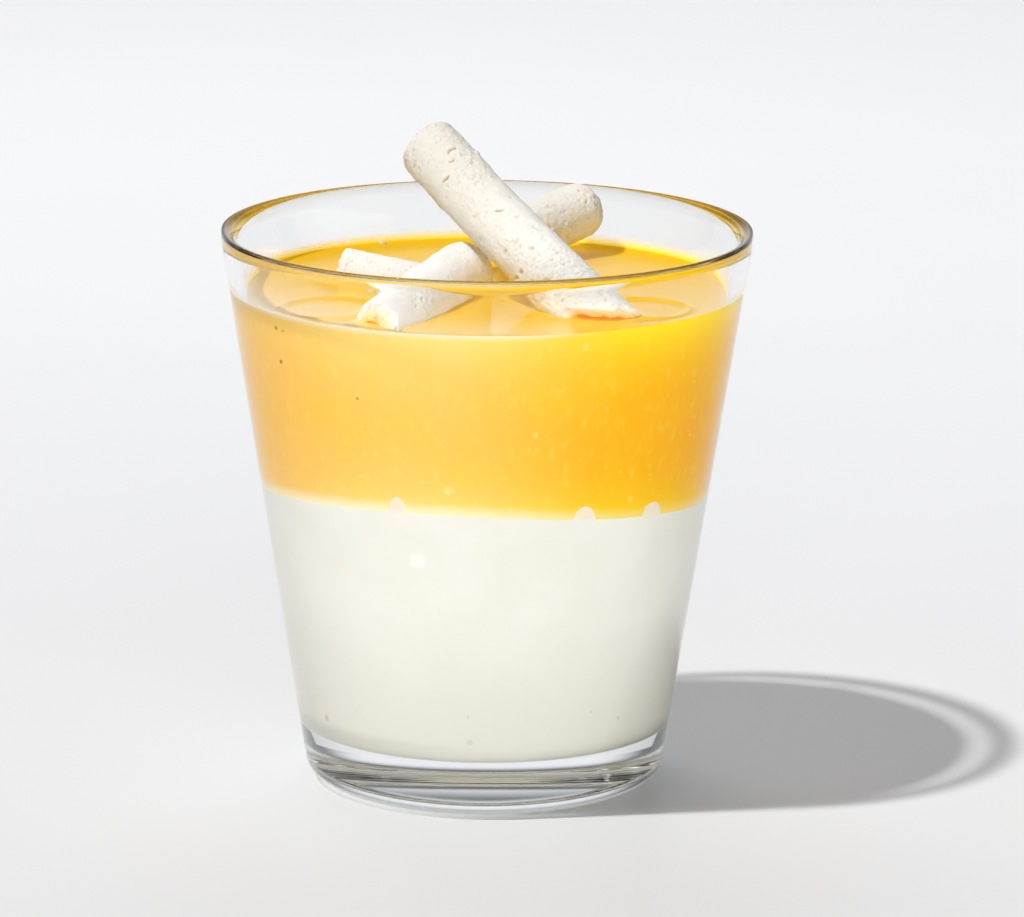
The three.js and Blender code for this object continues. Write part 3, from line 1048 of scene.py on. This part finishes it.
def meringue_stick(stick, material):
    foot, tip, length = stick_axis(stick)
    rng = np.random.default_rng(stick["seed"])
    grain = Grain(stick["seed"] + 100)
    profile, broken_run = stick_profile(stick, length)
    sides = round(2 * math.pi * max(stick["radii"]) / STICK_SPACING)
    radius, bearing, height = rings(profile, sides)
    row = np.arange(1, len(profile) - 1) * STICK_SPACING
    broken = 1 - smooth(row - broken_run, *BREAK_SHADE)
    broken = np.repeat(broken[:, None], sides, axis=1)
    slope = np.gradient(profile, axis=0)[1:-1]
    slope = slope / np.linalg.norm(slope, axis=1, keepdims=True)
    outwards, forwards = slope[:, 1:], -slope[:, :1]

    flat = upright(radius, bearing, height)
    patches = smooth(grain(flat + PATCH_SHIFT, PATCH_SIZE), -PATCH_EDGE, PATCH_EDGE)
    pocks = 0
    for deep, size, shift, start in POCKS:
        pocks = pocks + deep * smooth(grain(flat + shift, size), start, POCK_FULL)
    pocks = stick["crumb"] * patches * pocks
    nubs = stick["crumb"] * (NUBS_LEAST + (1 - NUBS_LEAST) * patches) * grain.relief(flat, NUBS)
    lumps = grain.relief(flat, LUMPS) + nubs - pocks
    rough = grain.relief(flat, BREAK_CRUMB)
    skin_depth = np.zeros_like(radius)
    on_skin = broken[:, 0] < 0.5
    skin_depth[on_skin] = pitted(stick, bearing[on_skin], height[on_skin], rng, grain)
    out = lumps * (1 - broken) + rough * broken - skin_depth
    radius = np.maximum(radius + outwards * out, LEAST_RADIUS)
    height = height + forwards * out

    circle = upright(np.full_like(bearing, stick["radii"][0]), bearing, 0 * bearing)
    ragged = stick["ragged"] * grain.relief(circle, BREAK_EDGE)
    at_foot = 1 - smooth(height, 0, SLANT_REACH)
    at_break = 1 - smooth(height, 0, BREAK_REACH)
    up, side = radius * np.cos(bearing), radius * np.sin(bearing)
    share = np.clip(radius / stick["radii"][0], 0, 1)
    slant = stick["foot_slant"][0] * up + stick["foot_slant"][1] * side
    height = height + at_break * (ragged * share + notched(stick, bearing)) + at_foot * slant

    bored = stick["bore"] > 0
    # The hollow is stained with coulis and glows with painted light from its wall to near the edge
    wet_start, wet_end = stick["bore"] + BORE_STAIN_EDGE[0], stick["radii"][0] - BORE_STAIN_EDGE[1]
    in_bore = 1 - smooth(profile[1:-1, :1], wet_start, wet_end)
    in_bore = np.repeat(in_bore, sides, axis=1) * broken * bored
    up = up + in_bore * stick["bore_shift"][0]
    side = side + in_bore * stick["bore_shift"][1]

    along = (tip - foot) / length
    sideways = np.cross(along, (0, 0, 1))
    sideways = sideways / np.linalg.norm(sideways)
    upwards = np.cross(sideways, along)
    swing = np.sin(math.pi * np.clip(height / length, 0, 1))

    def placed(up, side, height, swing):
        where = foot + np.multiply.outer(up, upwards) + np.multiply.outer(side, sideways)
        bow = np.multiply.outer(swing, np.array(stick["bow"], float))
        return where + np.multiply.outer(height, along) + bow

    first = placed(*stick["bore_shift"], BORE_DEPTH * bored, 0)
    last = placed(0, 0, length, 0)
    # Painted tan and shade in pits and pocks
    pore = smooth(skin_depth + pocks, *PORE_SHADE)
    low_toast, high_toast = stick["toast"]
    toast = low_toast + (high_toast - low_toast) * smooth(height / length, *TOAST_SPAN)
    body = placed(up, side, height, swing)
    # Painted glow of light bounced from the coulis onto low parts
    near_coulis = 1 - smooth(body[..., 2], COULIS_LEVEL, COULIS_LEVEL + COULIS_BOUNCE_REACH)
    made = piece(
        "meringue_" + stick["name"],
        *skin(first, body, last),
        material,
        {
            "pore": capped(pore, 0, 0),
            "broken": capped(broken, 1, 0),
            "wetted": capped(BORE_STAIN_AND_GLOW * in_bore, BORE_STAIN_AND_GLOW, 0),
            "toast": capped(toast, low_toast, high_toast),
            "near_coulis": capped(near_coulis, 0, 0),
        },
    )
    part_of_dessert(made, "meringue", "meringue_stick_" + stick["name"])


def ball(radius):
    """Points and faces of a round bubble about the origin."""
    turn = np.linspace(0, math.pi, 24)
    profile = np.stack([radius * np.sin(turn), -radius * np.cos(turn)], -1)
    return skin(on_axis(-radius), upright(*rings(profile, 36)), on_axis(radius))


def surface_bubble():
    """One clear bubble that floats on the coulis near the back wall."""
    x, y, radius = SURFACE_BUBBLE
    points, faces = ball(radius)
    level = COULIS_LEVEL + 0.5 * MENISCUS_RISE
    points = points * (1, 1, BUBBLE_SQUASH) + (x, y, level)
    made = piece("surface_bubble", points, faces, bubble_film())
    part_of_dessert(made, "coulis")


def table():
    corners = np.array([(-1, -1, 0), (1, -1, 0), (1, 1, 0), (-1, 1, 0)]) * TABLE_HALF
    made = piece("table", corners - on_axis(TABLE_DROP), [(0, 1, 2, 3)], pale_table())


def camera():
    data = bpy.data.cameras.new("camera")
    data.lens = CAMERA_LENS
    data.sensor_width = SENSOR_WIDTH
    data.clip_start, data.clip_end = 0.01, 20
    made = bpy.data.objects.new("camera", data)
    bpy.context.scene.collection.objects.link(made)
    back = np.array([0, -math.cos(CAMERA_ELEVATION), math.sin(CAMERA_ELEVATION)])
    above = np.array([0, math.sin(CAMERA_ELEVATION), math.cos(CAMERA_ELEVATION)])
    level = np.array([1.0, 0, 0])
    right = math.cos(CAMERA_ROLL) * level + math.sin(CAMERA_ROLL) * above
    over = math.cos(CAMERA_ROLL) * above - math.sin(CAMERA_ROLL) * level
    turn = Matrix(np.stack([right, over, back], 1).tolist())
    made.matrix_world = Matrix.Translation([x * MM for x in CAMERA_PLACE]) @ turn.to_4x4()
    bpy.context.scene.camera = made


def aimed(made, place, towards):
    made.location = Vector(place) * MM
    made.rotation_mode = "QUATERNION"
    made.rotation_quaternion = (Vector(place) - Vector(towards)).to_track_quat("Z", "Y")
    bpy.context.scene.collection.objects.link(made)


def softbox(name, place, towards, width, height, power, colour):
    data = bpy.data.lights.new(name, "AREA")
    data.shape = "RECTANGLE"
    data.size, data.size_y = width * MM, height * MM
    data.energy = power
    data.color = colour
    made = bpy.data.objects.new(name, data)
    made.visible_glossy = False
    made.visible_transmission = False
    aimed(made, place, towards)


def studio_light():
    key = bpy.data.lights.new("key", "SUN")
    key.energy = KEY_STRENGTH
    key.angle = KEY_ANGLE
    aimed(bpy.data.objects.new("key", key), KEY_DIRECTION, (0, 0, 0))
    for one_box in SOFTBOXES:
        softbox(*one_box)
    world = bpy.data.worlds.new("studio")
    world.use_nodes = True
    bpy.context.scene.world = world
    sky = Finish(world.node_tree)
    direction = sky.node("ShaderNodeTexCoord", {}, {}, "Generated")
    up = sky.node("ShaderNodeSeparateXYZ", {}, {0: direction}, "Z")
    behind = sky.node("ShaderNodeSeparateXYZ", {}, {0: direction}, "Y")
    room = sky.blend(up.step(*CEILING), ROOM_LOW, ROOM_HIGH)
    room = sky.blend((0 - behind).step(*FRONT_WALL), room, ROOM_FRONT)
    glow = sky.blend(behind.step(*SWEEP_SIDES) * (1 - up.step(*SWEEP_TOP)), room, SWEEP)
    sky.node("ShaderNodeOutputWorld", {}, {0: sky.node("ShaderNodeBackground", {}, {0: glow, 1: 1.0})})


def light_paths():
    """Bounces enough for light that is caught in the lip and the thick foot."""
    paths = bpy.context.scene.cycles
    paths.max_bounces = 24
    paths.glossy_bounces = 7
    paths.transmission_bounces = 24


def tone():
    """A plain view of the light, with the contrast of a studio photograph in its deep tones."""
    view = bpy.context.scene.view_settings
    view.view_transform = "Standard"
    view.use_curve_mapping = True
    curve = view.curve_mapping.curves[3]
    for level, shown in TONE_TOE:
        curve.points.new(level, shown)
    view.curve_mapping.update()


tumbler()
panna_cotta()
fruit_coulis()
wall_film()
surface_bubble()
meringue = baked_meringue()
for one_stick in STICKS:
    meringue_stick(one_stick, meringue)
table()
camera()
studio_light()
light_paths()
tone()
